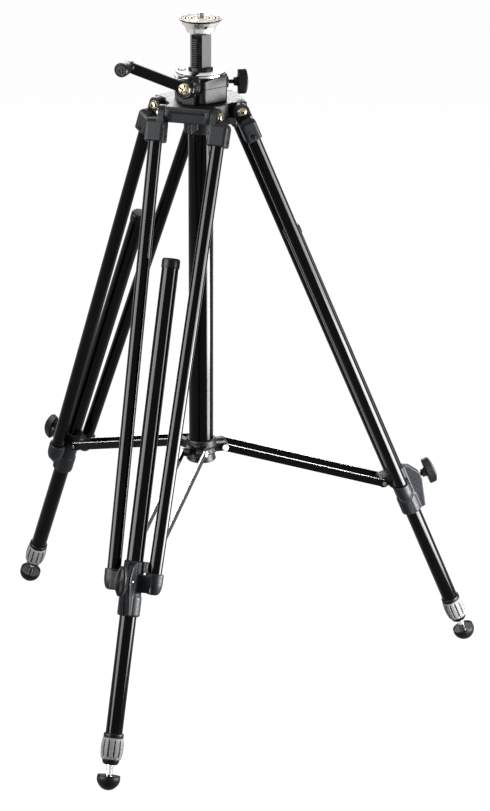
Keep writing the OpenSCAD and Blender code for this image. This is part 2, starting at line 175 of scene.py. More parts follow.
def edge_wear(tree, base, worn, amount):
    """Lightens convex edges a little, broken up by noise."""
    geometry = tree.nodes.new("ShaderNodeNewGeometry")
    edges = ramp(tree, geometry.outputs["Pointiness"], 0.0, amount, 0.52, 0.6)
    patches = ramp(tree, noise(tree, 180), 0.2, 1.0)
    product = tree.nodes.new("ShaderNodeMath")
    product.operation = "MULTIPLY"
    tree.links.new(edges, product.inputs[0])
    tree.links.new(patches, product.inputs[1])
    mix = tree.nodes.new("ShaderNodeMix")
    mix.data_type = "RGBA"
    tree.links.new(product.outputs[0], mix.inputs["Factor"])
    tree.links.new(base, mix.inputs["A"])
    mix.inputs["B"].default_value = (*worn, 1)
    return mix.outputs["Result"]


def gloss_tube(name, colour, roughness, specular):
    """Black anodised tube: deep and glossy, with faint handling smears."""
    material, tree, shader = new_material(name)
    tint = ramp(tree, noise(tree, 14), tuple(c * 0.8 for c in colour), tuple(c * 1.25 for c in colour))
    tree.links.new(tint, shader.inputs["Base Color"])
    smears = noise(tree, 35, 5.0)
    tree.links.new(ramp(tree, smears, roughness * 0.8, roughness * 1.3), shader.inputs["Roughness"])
    shader.inputs["Specular IOR Level"].default_value = specular
    return material


def cast_paint(name, colour, roughness, grain_mm=0.09):
    """Paint over a die casting: fine orange peel, soft cloudiness and slightly worn edges."""
    material, tree, shader = new_material(name)
    cloud = ramp(tree, noise(tree, 45, 4.0), tuple(c * 0.82 for c in colour), tuple(c * 1.2 for c in colour))
    tree.links.new(edge_wear(tree, cloud, tuple(c * 2.2 for c in colour), 0.5), shader.inputs["Base Color"])
    tree.links.new(ramp(tree, noise(tree, 260), roughness * 0.85, roughness * 1.2),
                   shader.inputs["Roughness"])
    coarse = bump(tree, noise(tree, 520, 2.0), shader, grain_mm, 0.45)
    bump(tree, noise(tree, 1600, 2.0), shader, grain_mm * 0.4, 0.35, coarse)
    shader.inputs["Specular IOR Level"].default_value = 0.07
    return material


def bright_metal(name, colour, roughness, stretch, scale=500, wear=0.12):
    """Machined metal: fine lines in the direction that stretch gives, with small stains."""
    material, tree, shader = new_material(name)
    shader.inputs["Metallic"].default_value = 1.0
    tint = ramp(tree, noise(tree, 60, 4.0), tuple(c * (1 - wear) for c in colour), colour)
    tree.links.new(tint, shader.inputs["Base Color"])
    lines = noise(tree, scale, 2.0, stretch)
    tree.links.new(ramp(tree, lines, roughness * 0.75, roughness * 1.35), shader.inputs["Roughness"])
    bump(tree, lines, shader, 0.02, 0.3)
    return material


def turned_metal(name, colour, roughness, pitch_mm=0.35, depth_mm=0.03):
    """Lathe-turned metal: fine rings round the piece's own Z axis."""
    material, tree, shader = new_material(name)
    shader.inputs["Metallic"].default_value = 1.0
    coords = tree.nodes.new("ShaderNodeTexCoord")
    split = tree.nodes.new("ShaderNodeSeparateXYZ")
    tree.links.new(coords.outputs["Object"], split.inputs["Vector"])
    squares = []
    for axis in ("X", "Y"):
        square = tree.nodes.new("ShaderNodeMath")
        square.operation = "POWER"
        square.inputs[1].default_value = 2
        tree.links.new(split.outputs[axis], square.inputs[0])
        squares.append(square.outputs[0])
    total = tree.nodes.new("ShaderNodeMath")
    tree.links.new(squares[0], total.inputs[0])
    tree.links.new(squares[1], total.inputs[1])
    root = tree.nodes.new("ShaderNodeMath")
    root.operation = "SQRT"
    tree.links.new(total.outputs[0], root.inputs[0])
    join = tree.nodes.new("ShaderNodeCombineXYZ")
    tree.links.new(root.outputs[0], join.inputs["X"])
    tree.links.new(split.outputs["Z"], join.inputs["Z"])
    rings = add_node(tree, "ShaderNodeTexNoise", Scale=1 / (pitch_mm * MM), Detail=1.0)
    tree.links.new(join.outputs["Vector"], rings.inputs["Vector"])
    tree.links.new(ramp(tree, rings.outputs["Fac"], roughness * 0.7, roughness * 1.4),
                   shader.inputs["Roughness"])
    tint = ramp(tree, noise(tree, 70, 4.0), tuple(c * 0.86 for c in colour), colour)
    # Painted shade: in concave hollows, found by pointiness, the base colour darkens toward 15% of the
    # metal's own, where shade would lie.
    painted_hollow_shade = ramp(tree, tree.nodes.new("ShaderNodeNewGeometry").outputs["Pointiness"], 0.25, 1.0, 0.42, 0.5)
    darkened_base = tree.nodes.new("ShaderNodeMix")
    darkened_base.data_type = "RGBA"
    darkened_base.inputs["A"].default_value = (*(c * 0.15 for c in colour), 1)
    tree.links.new(painted_hollow_shade, darkened_base.inputs["Factor"])
    tree.links.new(tint, darkened_base.inputs["B"])
    tree.links.new(darkened_base.outputs["Result"], shader.inputs["Base Color"])
    bump(tree, rings.outputs["Fac"], shader, depth_mm, 0.5)
    return material


def satin_metal(name, colour, roughness):
    """Bead-blasted, anodised metal: an even, soft sheen with faint stains."""
    material, tree, shader = new_material(name)
    tint = ramp(tree, noise(tree, 120, 4.0), tuple(c * 0.88 for c in colour), tuple(c * 1.1 for c in colour))
    tree.links.new(tint, shader.inputs["Base Color"])
    tree.links.new(ramp(tree, noise(tree, 400), roughness * 0.85, roughness * 1.15),
                   shader.inputs["Roughness"])
    bump(tree, noise(tree, 2500, 2.0), shader, 0.008, 0.4)
    shader.inputs["Specular IOR Level"].default_value = 0.05
    return material


def moulded(name, colour, roughness, grain=1200, depth_mm=0.03, specular=0.06):
    """Moulded plastic or rubber with a fine grain and slight colour variation."""
    material, tree, shader = new_material(name)
    tint = ramp(tree, noise(tree, 90, 4.0), tuple(c * 0.75 for c in colour), tuple(c * 1.3 for c in colour))
    tree.links.new(edge_wear(tree, tint, tuple(c * 2.5 + 0.01 for c in colour), 0.4),
                   shader.inputs["Base Color"])
    tree.links.new(ramp(tree, noise(tree, 300), roughness * 0.85, roughness * 1.15),
                   shader.inputs["Roughness"])
    bump(tree, noise(tree, grain, 2.0), shader, depth_mm, 0.5)
    shader.inputs["Specular IOR Level"].default_value = specular
    return material


def clear_liquid(name):
    material, tree, shader = new_material(name)
    tint = ramp(tree, noise(tree, 200), (0.42, 0.5, 0.05), (0.6, 0.68, 0.12))
    tree.links.new(tint, shader.inputs["Base Color"])
    shader.inputs["Roughness"].default_value = 0.05
    shader.inputs["Transmission Weight"].default_value = 0.35
    shader.inputs["Coat Weight"].default_value = 1.0
    return material


TUBE = gloss_tube("black_tube", (0.00012, 0.00012, 0.00014), 0.1, 0.06)
COLUMN_BLACK = gloss_tube("column_black", (0.0002, 0.0002, 0.0002), 0.2, 0.052)
CASTING = cast_paint("blue_grey_casting", (0.0014, 0.0018, 0.0024), 0.42)
HUB_PAINT = cast_paint("hub_paint", (0.0007, 0.0009, 0.0012), 0.4)
HOUSING = cast_paint("dark_grey_housing", (0.0017, 0.0018, 0.002), 0.34, 0.06)
CRANK_PAINT = cast_paint("crank_paint", (0.0004, 0.0004, 0.0005), 0.2, 0.02)
CONE = turned_metal("turned_aluminium", (0.5, 0.49, 0.47), 0.22)
FACED = satin_metal("faced_aluminium", (0.24, 0.235, 0.22), 0.4)
RACK = satin_metal("rack_steel", (0.022, 0.022, 0.023), 0.4)
RINGS = satin_metal("ringed_aluminium", (0.24, 0.215, 0.185), 0.5)
FLUTED = satin_metal("fluted_aluminium", (0.042, 0.042, 0.043), 0.5)
STEEL = bright_metal("plated_steel", (0.6, 0.6, 0.61), 0.14, (1, 1, 0.05))
ZINC = turned_metal("cream_zinc", (0.16, 0.135, 0.09), 0.3, 0.5)
DULL_STEEL = bright_metal("dull_steel", (0.2, 0.2, 0.205), 0.25, (1, 1, 0.05))
BRASS = turned_metal("brass", (0.5, 0.36, 0.14), 0.25)
# Painted shade: dark satin for the bottoms of the foot lock's grooves.
GROOVE_SHADE = satin_metal("groove_shade_grey", (0.004, 0.004, 0.0042), 0.5)
PLASTIC = moulded("black_plastic", (0.0005, 0.0005, 0.0006), 0.36)
KNOB = moulded("knob_plastic", (0.0008, 0.0009, 0.001), 0.36)
RUBBER = moulded("rubber", (0.0004, 0.0004, 0.0004), 0.45, 700, 0.08)
# Painted shade: a black with no sheen, for sheets set where only shade falls, in gaps and between teeth.
SHADOW = moulded("shade_black", (0.0003, 0.0003, 0.0003), 0.9, 1200, 0.02, 0.0)
VIAL = clear_liquid("level_liquid")


# ---------------------------------------------------------------- mesh tools
def finish_mesh(mesh, edge_angle=32):
    mesh.update()
    mesh.shade_smooth()
    mesh.set_sharp_from_angle(angle=math.radians(edge_angle))
    return mesh


def mesh_from(name, points, faces, edge_angle=32):
    """Points are in millimetres."""
    mesh = bpy.data.meshes.new(name)
    mesh.from_pydata([(x * MM, y * MM, z * MM) for x, y, z in points], [], faces)
    return finish_mesh(mesh, edge_angle)


def arc_corners(points, steps=4):
    """Rounds the corners of an open outline. A point with a third value is rounded by that radius."""
    out = []
    for k, point in enumerate(points):
        radius = point[2] if len(point) > 2 else 0
        here = Vector(point[:2])
        if radius <= 0 or k in (0, len(points) - 1):
            out.append(tuple(here))
            continue
        before = (Vector(points[k - 1][:2]) - here).normalized()
        after = (Vector(points[k + 1][:2]) - here).normalized()
        for j in range(steps + 1):
            t = j / steps
            start, end = here + before * radius, here + after * radius
            bend = start.lerp(here, t).lerp(here.lerp(end, t), t)
            out.append(tuple(bend))
    return out


def lathe_mesh(name, profile, segments=64, ripple=None, edge_angle=32):
    """Turns a profile of (radius, height, corner radius) round Z. ripple(angle, height) scales the radius."""
    outline = arc_corners(profile)
    points, faces, rings = [], [], []
    for r, z in outline:
        if r < 1e-6:
            rings.append([len(points)])
            points.append((0, 0, z))
            continue
        rings.append(list(range(len(points), len(points) + segments)))
        for k in range(segments):
            a = 2 * math.pi * k / segments
            scale = ripple(a, z) if ripple else 1
            points.append((r * scale * math.cos(a), r * scale * math.sin(a), z))
    for low, high in zip(rings, rings[1:]):
        for k in range(segments):
            n = (k + 1) % segments
            if len(low) == 1 and len(high) > 1:
                faces.append((low[0], high[n], high[k]))
            elif len(high) == 1 and len(low) > 1:
                faces.append((low[k], low[n], high[0]))
            elif len(low) > 1:
                faces.append((low[k], low[n], high[n], high[k]))
    if outline[0] == outline[-1]:
        mesh = mesh_from(name, points, faces, edge_angle)
        bm = bmesh.new()
        bm.from_mesh(mesh)
        bmesh.ops.remove_doubles(bm, verts=bm.verts, dist=1e-7)
        bm.to_mesh(mesh)
        bm.free()
        return finish_mesh(mesh, edge_angle)
    return mesh_from(name, points, faces, edge_angle)


def stack_mesh(name, outline, levels, edge_angle=32, bore=0):
    """Stacks copies of a closed outline. Each level is (height, inset); height may be a function of (x, y).
    A bore is the radius of a round hole down the middle."""
    count = len(outline)
    centre = Vector((sum(p[0] for p in outline) / count, sum(p[1] for p in outline) / count))
    normals = []
    for k in range(count):
        edge = Vector(outline[(k + 1) % count]) - Vector(outline[k - 1])
        normals.append(Vector((edge.y, -edge.x)).normalized())
    points, faces = [], []
    for height, inset in levels:
        for k in range(count):
            p = Vector(outline[k]) - normals[k] * inset
            points.append((p.x, p.y, height(p.x, p.y) if callable(height) else height))
    for level in range(len(levels) - 1):
        low = level * count
        for k in range(count):
            n = (k + 1) % count
            faces.append((low + k, low + n, low + count + n, low + count + k))
    inner = []
    for level, flip in ((0, True), (len(levels) - 1, False)):
        height = levels[level][0]
        middle = [len(points) + k for k in range(count)]
        for point in outline:
            p = centre + (Vector(point) - centre).normalized() * bore
            points.append((p.x, p.y, height(p.x, p.y) if callable(height) else height))
            if not bore:
                middle = [len(points) - 1] * count
                break
        inner.append(middle)
        for k in range(count):
            n = (k + 1) % count
            face = [level * count + k, level * count + n, middle[n], middle[k]][:4 if bore else 3]
            faces.append(face[::-1] if flip else face)
    if bore:
        faces += [(inner[0][k], inner[1][k], inner[1][(k + 1) % count], inner[0][(k + 1) % count])
                  for k in range(count)]
    return mesh_from(name, points, faces, edge_angle)


def circle_outline(radius, count=64, centre=(0, 0)):
    return [(centre[0] + radius * math.cos(2 * math.pi * k / count),
             centre[1] + radius * math.sin(2 * math.pi * k / count)) for k in range(count)]


def rounded_polygon(corners, radius, steps=6):
    """A closed convex outline with rounded corners, anticlockwise."""
    out = []
    count = len(corners)
    for k in range(count):
        here = Vector(corners[k])
        before = (Vector(corners[k - 1]) - here).normalized()
        after = (Vector(corners[(k + 1) % count]) - here).normalized()
        half = before.angle(after) / 2
        reach = radius / math.tan(half)
        centre = here + (before + after).normalized() * (radius / math.sin(half))
        start = here + before * reach - centre
        sweep = math.pi - 2 * half
        for j in range(steps + 1):
            a = sweep * j / steps
            out.append((centre.x + start.x * math.cos(a) - start.y * math.sin(a),
                        centre.y + start.x * math.sin(a) + start.y * math.cos(a)))
    return out


def slot_outline(length, half_height, count=12):
    """A bar from (0, 0) to (length, 0) with round ends, anticlockwise."""
    ends = [(length, -90), (0, 90)]
    return [(x + half_height * math.cos(math.radians(start + 180 * k / count)),
             half_height * math.sin(math.radians(start + 180 * k / count)))
            for x, start in ends for k in range(count + 1)]


def block_mesh(low, high):
    """A plain block, used only as stock for fuse() and as a cutter."""
    xs, ys, zs = zip(low, high)
    points = [(x, y, z) for z in zs for y in ys for x in xs]
    faces = [(0, 2, 3, 1), (4, 5, 7, 6), (0, 1, 5, 4), (2, 6, 7, 3), (0, 4, 6, 2), (1, 3, 7, 5)]
    return mesh_from("stock", points, faces)


def rod_mesh(radius, low, high, segments=48):
    return lathe_mesh("stock", [(0, low), (radius, low), (radius, high), (0, high)], segments)


def transformed(mesh, matrix):
    copy = mesh.copy()
    copy.transform(matrix)
    return copy


def rod_y(radius, y0, y1, x=0, z=0):
    return transformed(rod_mesh(radius, y0, y1), move(x, 0, z) @ turn(-90, "X"))


def rod_x(radius, x0, x1, y=0, z=0):
    return transformed(rod_mesh(radius, x0, x1), move(0, y, z) @ turn(90, "Y"))


def prism_y(points, y0, y1):
    """An outline of (x, z) points, extruded along y."""
    count = len(points)
    corners = [(x, y0, z) for x, z in points] + [(x, y1, z) for x, z in points]
    faces = [tuple(range(count)), tuple(reversed(range(count, 2 * count)))]
    faces += [(k, k + count, (k + 1) % count + count, (k + 1) % count) for k in range(count)]
    mesh = mesh_from("stock", corners, faces)
    bm = bmesh.new()
    bm.from_mesh(mesh)
    bmesh.ops.recalc_face_normals(bm, faces=bm.faces)
    bm.to_mesh(mesh)
    bm.free()
    return mesh


def joined(meshes):
    bm = bmesh.new()
    for mesh in meshes:
        bm.from_mesh(mesh)
    out = bpy.data.meshes.new("joined")
    bm.to_mesh(out)
    bm.free()
    return out


def with_modifiers(mesh, setup):
    """Applies modifiers to a mesh and returns the result. setup(object) adds them."""
    thing = bpy.data.objects.new("work", mesh)
    bpy.context.scene.collection.objects.link(thing)
    helpers = setup(thing) or []
    bpy.context.view_layer.update()
    graph = bpy.context.evaluated_depsgraph_get()
    result = bpy.data.meshes.new_from_object(thing.evaluated_get(graph))
    for extra in [thing, *helpers]:
        bpy.data.objects.remove(extra)
    return result


def cut(mesh, tools):
    """Cuts the tools out of a mesh."""
    def setup(thing):
        tool = bpy.data.objects.new("tool", joined(tools))
        bpy.context.scene.collection.objects.link(tool)
        tool.hide_render = True
        modifier = thing.modifiers.new("cut", "BOOLEAN")
        modifier.operation = "DIFFERENCE"
        modifier.solver = "EXACT"
        modifier.use_self = True
        modifier.object = tool
        return [tool]
    return finish_mesh(with_modifiers(mesh, setup))


def fuse(stock, cuts=(), voxel=0.8, smooth=6, keep=0.5, edge_angle=60):
    """Melts overlapping stock into one casting with soft fillets, then bores it."""
    def setup(thing):
        remesh = thing.modifiers.new("remesh", "REMESH")
        remesh.mode = "VOXEL"
        remesh.voxel_size = voxel * MM
        blur = thing.modifiers.new("blur", "SMOOTH")
        blur.factor = 0.5
        blur.iterations = smooth
        thin = thing.modifiers.new("thin", "DECIMATE")
        thin.ratio = keep
    melted = with_modifiers(joined(stock), setup)
    return cut(melted, list(cuts)) if cuts else finish_mesh(melted, edge_angle)


# ---------------------------------------------------------------- pieces
def add_piece(name, mesh, axes, material, body, slot, stands_for=()):
    piece = bpy.data.objects.new(name, mesh)
    bpy.context.scene.collection.objects.link(piece)
    if not mesh.materials:
        mesh.materials.append(material)
    piece.matrix_world = axes
    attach(piece, body)
    if stands_for:
        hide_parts(*stands_for)
    return piece


def add_lathe(name, profile, count, *how):
    """Adds a piece turned from one profile. What follows count goes to add_piece."""
    return add_piece(name, lathe_mesh(name, profile, count), *how)


def dress(node, material):
    """Gives a CAD node that keeps its own shape its finish."""
    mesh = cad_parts[node].data
    mesh.materials.clear()
    mesh.materials.append(material)


# Crown and gear housing
def make_crown():
    stock = [rod_mesh(50, 866, crown_top), rod_mesh(24.3, crown_top - 48, crown_top)]
    half, ear = 33.9, 7.5
    for leg in LEGS:
        spin = turn(LEGS[leg], "Z")
        lug = [block_mesh((0, -half, 865), (59, half, crown_top)),
               block_mesh((56, -half, 880.5), (60, half, crown_top)),
               block_mesh((18, -3, 848), (52, 3, 868))]
        lug += [rod_y(12, y, y + ear, hinge_r, hinge_z) for y in (-half, 26.4)]
        stock += [transformed(mesh, spin) for mesh in lug]
    bores = [rod_mesh(18.05, crown_top - 60, crown_top + 10)]
    mesh = fuse(stock, bores, 0.85, 5)
    add_piece("crown_casting", mesh, CENTRE, CASTING, "base", "casting", ["crown"])


def make_housing():
    corner = 41
    corners = [(corner * math.cos(math.radians(30 + 60 * k)), corner * math.sin(math.radians(30 + 60 * k)))
               for k in range(6)]
    outline = rounded_polygon(corners, 6.5)
    seam = crown_top + 22

    def rim(drop):
        """The top edge climbs to the flange's top on the side of the lock knob."""
        return lambda x, y: housing_high - drop + 8 * max(0, min(1, (y - 19) / 13))
    levels = [(crown_top, 1.4), (crown_top + 1.4, 0), (seam - 0.8, 0), (seam - 0.3, 0.8), (seam + 0.3, 0.8),
              (seam + 0.8, 0), (rim(1.2), 0), (rim(0.3), 0.5), (rim(0), 1.6)]
    block = stack_mesh("housing_block", outline, levels, bore=17.4)
    add_piece("housing_block", block, GEAR, HOUSING, "base", "housing_paint", ["gear_housing"])
    boss = fuse([rod_x(13.6, 20, 48.9, 0, crank_z),
                 block_mesh((20, -9, crown_top + 0.2), (45, 9, crank_z)),
                 rod_x(16, 20, 41, 0, crank_z)], [], 0.6, 5)
    add_piece("crank_bearing", boss, GEAR, HOUSING, "base", "housing_paint")
    seat = lathe_mesh("knob_seat", [(0, 34), (9, 34), (9, 38, 1), (7.5, 39.4, 0.8), (0, 39.4)])
    add_piece("column_lock_seat", seat, COLUMN_KNOB @ ALONG_X, HOUSING, "base", "housing_paint")


def make_flange():
    side = [(30, housing_high - 0.4), (31.8, housing_high - 0.4, 0.4), (32.4, housing_high + 0.6, 0.5),
            (35.1, flange_z - 3.4, 0.5), (35.3, flange_z - 1.5)]
    add_lathe("flange_side", side, 96, GEAR, CONE, "base", "polished", ["top_flange"])
    edge = [(35, flange_z - 1.7), (35.5, flange_z - 1.4, 0.2), (35.5, flange_z - 0.5, 0.3),
            (34.9, flange_z - 0.1)]
    add_lathe("flange_edge", edge, 96, GEAR, PLASTIC, "base", "black_plastic")
    top = [(35, flange_z - 0.3), (34.6, flange_z, 0.2), (17.5, flange_z)]
    add_lathe("flange_top", top, 96, GEAR, FACED, "base", "polished")
    level = GEAR @ move(6.6, -26.2, flange_z)
    ring = [(4.4, 0.2), (4.6, 1.5, 0.3), (5.4, 1.6, 0.3), (6, 1.0, 0.4), (6, -0.4)]
    add_lathe("level_ring", ring, 40, level, PLASTIC, "base", "vial", ["level_vial"])
    dome = [(0, 1.35), (2.5, 1.2), (4.5, 0.5)][::-1]
    add_lathe("level_glass", dome, 40, level, VIAL, "base", "vial")
    dot = [(0, 1.75), (0.9, 1.6), (1.35, 1.25)][::-1]
    add_lathe("level_bubble", dot, 24, level @ move(0.8, 0.4, 0), STEEL, "base",
              "vial")


def quad_rows(rows, count):
    """Faces that join each row of count points to the next one."""
    return [(j * count + k, j * count + (k + 1) % count, (j + 1) * count + (k + 1) % count,
             (j + 1) * count + k) for j in range(rows) for k in range(count)]


def make_guide_bush():
    count = 72
    bush_r, bore_limit = 17.5, 16.7
    inner = []
    for k in range(count):
        a = 2 * math.pi * k / count
        bend = (math.degrees(a) + 30) % 60 - 30
        inner.append((column_r + 0.3) * math.cos(math.radians(30)) / math.cos(math.radians(bend)))
    top = flange_z + 6.2
    rows = [(bush_r, flange_z - 2), (bush_r, top - 1.2), (17.0, top - 0.3), (16.9, top)]
    points = []
    for radius, z in rows:
        points += [(radius * math.cos(2 * math.pi * k / count),
                    radius * math.sin(2 * math.pi * k / count), z) for k in range(count)]
    for z in (top, flange_z - 2):
        points += [(min(inner[k], bore_limit) * math.cos(2 * math.pi * k / count),
                    min(inner[k], bore_limit) * math.sin(2 * math.pi * k / count), z)
                   for k in range(count)]
    faces = quad_rows(5, count)
    for k in range(count):
        n = (k + 1) % count
        faces.append((5 * count + k, 5 * count + n, n, k))
    add_piece("column_bush", mesh_from("column_bush", points, faces), GEAR, PLASTIC, "base", "black_plastic",
              ["guide_bush"])


def make_sheath_cup():
    low, top = hub_z - 21.5, hub_z - 9.1
    tube = pipe_mesh("sheath", 18, 16.5, low + 7, crown_top)
    add_piece("column_sheath", tube, CENTRE, TUBE, "base", "black_tube", ["sheath_tube"])
    profile = [(0, low), (20.6, low, 1.2), (22, low + 1.8, 0.8), (21, low + 5, 1), (19.6, top - 0.6, 0.3),
               (18, top)]
    add_lathe("sheath_cup", profile, 72, CENTRE, PLASTIC, "base", "black_plastic",
              ["sheath_end_cup"])


# Column, plate and stud
def make_plate():
    grooves = []
    for r, width in ((25.5, 1.2), (22.8, 2.4), (18, 1.4), (14, 2.4), (9.6, 1.2)):
        grooves += [(r, 22), (r - 0.2, 21), (r - width + 0.2, 21), (r - width, 22)]
    cone = [(0, 0), (15.9, 0), (16.6, 0.7, 0.3), (20.8, 4, 0.8), (22.6, 11, 0.4), (23.9, 11.2, 0.5),
            (28.6, 18.9, 0.6), (29.5, 19.7)]
    edge = [(29.2, 19.4), (29.9, 20), (30.1, 20.6, 0.2), (30.1, 21.4, 0.3), (29.7, 21.9), (29, 21.9)]
    rim = [(29.6, 21.6), (29.2, 22, 0.2), (28.3, 22), (28.1, 21.2), (0, 21.2)]
    axes = GEAR @ move(0, 0, column_top)
    face = lathe_mesh("plate_rings",
                      [(26.9, 21.2), (26.6, 22, 0.2), *grooves, (4.9, 22), (4.9, 20), (0, 20)], 96)
    add_piece("plate_rings", face, axes, RINGS, "column", "polished")
    # Painted shade: a black disc just under the rings fills the groove bottoms and the gap inside the rim.
    gap = lathe_mesh("plate_gap_shade", [(28.2, 21.1), (28.1, 21.6), (8, 21.6), (8, 21.1)], 96)
    add_piece("plate_gap_shade", gap, axes, SHADOW, "column", "black_plastic")
    add_lathe("plate_cone", cone, 96, axes, CONE, "column", "polished", ["head_plate"])
    add_lathe("plate_rim", rim, 96, axes, FACED, "column", "polished")
    add_lathe("plate_edge", edge, 96, axes, PLASTIC, "column", "black_plastic")
    screw = [(0, 0.4), (1.5, 0.4), (1.5, 1.6, 0.3), (2.4, 1.6, 0.2), (2.6, 0)][::-1]
    for k in range(3):
        tilt = axes @ turn(40 + 120 * k, "Z") @ move(24.6, 0, 13.2) @ turn(58, "Y")
        add_piece(f"plate_screw_{k}", lathe_mesh("plate_screw", screw, 24), tilt, PLASTIC, "column",
                  "black_plastic")


def make_stud():
    pitch, low, high, count, rows = 1.5875, 21.8, 30.9, 36, 78
    points = []
    for j in range(rows + 1):
        z = low + (high - low) * j / rows
        for k in range(count):
            phase = (z / pitch - k / count) % 1
            depth = abs(phase - 0.5) * 2
            taper = min(1, (high - z) / 1.2 + 0.72)
            r = (3.95 + 0.8 * depth) * taper
            a = 2 * math.pi * k / count
            points.append((r * math.cos(a), r * math.sin(a), z))
    faces = quad_rows(rows, count)
    faces.append(tuple(rows * count + k for k in range(count)))
    mesh = mesh_from("threaded_stud", points, faces, 60)
    add_piece("threaded_stud", mesh, GEAR @ move(0, 0, column_top), DULL_STEEL, "column", "bright_steel",
              ["head_stud"])


def make_rack():
    """Dull black bed on the front face of the column, painted shade between the rack's teeth, with the bright
    tips of the teeth.
    """
    low, high = column_top - 559, column_top - 0.5
    bed = [(column_face + rise, y, z) for z in (low, high)
           for y, rise in ((-8.05, -0.1), (-7.95, 0.08), (7.95, 0.08), (8.05, -0.1))]
    faces = [(k, k + 1, k + 5, k + 4) for k in range(3)]
    add_piece("rack_shade_bed", mesh_from("rack_shade_bed", bed, faces, 20), GEAR, SHADOW, "column", "black_tube")
    points, faces = [], []
    teeth, tooth_at_mesh = 174, 150.5
    for k in range(teeth):
        middle = rack_z + (k - tooth_at_mesh) * math.pi
        start = len(points)
        for z, rise in ((middle - 0.6, 0), (middle - 0.42, 0.16), (middle + 0.42, 0.16), (middle + 0.6, 0)):
            points += [(column_face + rise, y, z) for y in (-7.9, -0.5)]
        faces += [(start + j, start + j + 1, start + j + 3, start + j + 2) for j in (0, 2, 4)]
    add_piece("rack_tips", mesh_from("rack_tips", points, faces, 20), GEAR, RACK, "column", "black_tube")


# Crank
def make_crank():
    arm_root = 52.5
    lean_angle = math.degrees(math.atan((grip_x - arm_root) / crank_len))
    reach = crank_len / math.cos(math.radians(lean_angle))
    arm = stack_mesh("arm", rounded_polygon([(-8, -5.4), (8, -5.4), (8, 5.4), (-8, 5.4)], 3),
                     [(4, 0), (reach, 0)])
    lean = move(arm_root, 0, 0) @ turn(-lean_angle, "Z") @ turn(-90, "X")
    hub = transformed(lathe_mesh("hub", [(0, 49.1), (13, 49.1, 1), (14.6, 50.5, 0.6), (14.6, 58, 1.4),
                                         (13, 60, 0.8), (10.4, 60), (10.2, 57.4), (0, 57.4)]), ALONG_X)
    stock = [hub, transformed(arm, lean @ turn(90, "Z")), rod_x(8.8, grip_x - 4, grip_x + 6, crank_len)]
    mesh = fuse(stock, [], 0.55, 4)
    add_piece("crank_lever", mesh, CRANK, CRANK_PAINT, "crank", "housing_paint", ["crank_arm"])
    head = lathe_mesh("screw", [(0, 57), (9.4, 57), (9.4, 60.2, 0.6), (7, 62.4, 1.1), (0, 63)], 48)
    slots = [block_mesh((-7, -1.5, 60), (7, 1.5, 66)), block_mesh((-1.5, -7, 60), (1.5, 7, 66))]
    add_piece("crank_cross_screw", cut(head, slots), CRANK @ ALONG_X, ZINC, "crank", "bolt_cream",
              ["crank_screw"])
    spindle = [(3, grip_x + 5.5), (3, grip_x + 28)]
    add_piece("grip_spindle", lathe_mesh("spindle", spindle, 24), CRANK @ move(0, crank_len, 0) @ ALONG_X,
              STEEL, "crank", "bright_steel")
    low = grip_x + 6.1
    profile = [(3.1, low), (7.8, low, 0.6), (8.8, low + 1.3, 0.6), (9.1, low + 7.5, 0.4),
               (10.1, low + 8.8, 0.6),
               (10.3, low + 20, 1), (8.9, low + 22.6, 0.8), (7.6, low + 22.6, 0.2), (7.2, low + 21.6, 0.2),
               (4.4, low + 21.6, 0.2), (4, low + 22.4, 0.2), (2.4, low + 22.4, 0.2), (2.2, low + 21.4),
               (0, low + 21.4)]
    add_lathe("crank_handle", profile, 56, CRANK @ move(0, crank_len, 0) @ ALONG_X,
              PLASTIC, "grip", "black_plastic", ["crank_grip"])


# Hand knobs
def knob_mesh(hub_start, wing_start, half_length):
    """A hand knob: a stepped hub on the screw and a lens-shaped wing. The screw runs along z."""
    depth, dome = 14.4, 70
    outline = []
    swell = (half_length ** 2 - 5.5 ** 2) / 11
    steps = 14
    for sign in (1, -1):
        for k in range(steps + 1):
            u = sign * (half_length - 2 * half_length * k / steps)
            v = sign * (math.sqrt((swell + 5.5) ** 2 - u * u) - swell + 3)
            outline.append((v, -u))

    def face(inset):
        def height(x, y):
            return wing_start + depth - dome + math.sqrt(dome * dome - y * y) - inset
        return height
    levels = [(wing_start, 1.2), (wing_start + 0.9, 0.1), (face(2.2), 0), (face(0.9), 0.5), (face(0.2), 1.5),
              (face(0), 3.0)]
    wing = stack_mesh("wing", outline, levels)
    hub = lathe_mesh("hub", [(0, hub_start), (5.6, hub_start, 0.6), (6.4, hub_start + 1, 0.5),
                             (6.4, wing_start - 2.5, 0.8), (7.8, wing_start + 0.5), (7.2, wing_start + 6),
                             (0, wing_start + 6)])
    return fuse([wing, hub], [], 0.45, 3, 0.6, 45)


def make_knobs():
    mesh = knob_mesh(47, 53, 18)
    add_piece("column_knob", mesh, COLUMN_KNOB @ ALONG_X @ turn(90, "Z"), KNOB, "column_lock",
              "black_plastic", ["column_lock_knob"])
    screw = lathe_mesh("knob_screw", [(3, 17.8), (3, 47.5)], 24)
    add_piece("column_knob_screw", screw, COLUMN_KNOB @ ALONG_X, PLASTIC, "column_lock", "black_plastic")


# ---------------------------------------------------------------- legs
def hinge_casting_mesh(sign):
    """Casting at the top of a strut, in the strut's own axes."""
    inner = -sign * (strut_half_top - 34)
    outer = -sign * (strut_half_top - 44)
    low, high = min(inner, outer), max(inner, outer)
    box = rounded_polygon([(-11.9, -14.4), (11.9, -14.4), (11.9, 14.4), (-11.9, 14.4)], 5)
    cap = stack_mesh("cap", box,
                     [(-casting_end, 1.6), (-casting_end + 1.6, 0), (-15, 0), (-11, 1.6), (-8, 5)])
    stock = [cap, rod_y(11.7, low, high), block_mesh((-11.6, low, -22), (11.6, high, 0))]
    bores = [rod_mesh(strut_r, -60, -14.5)]
    return fuse(stock, bores, 0.6, 6)


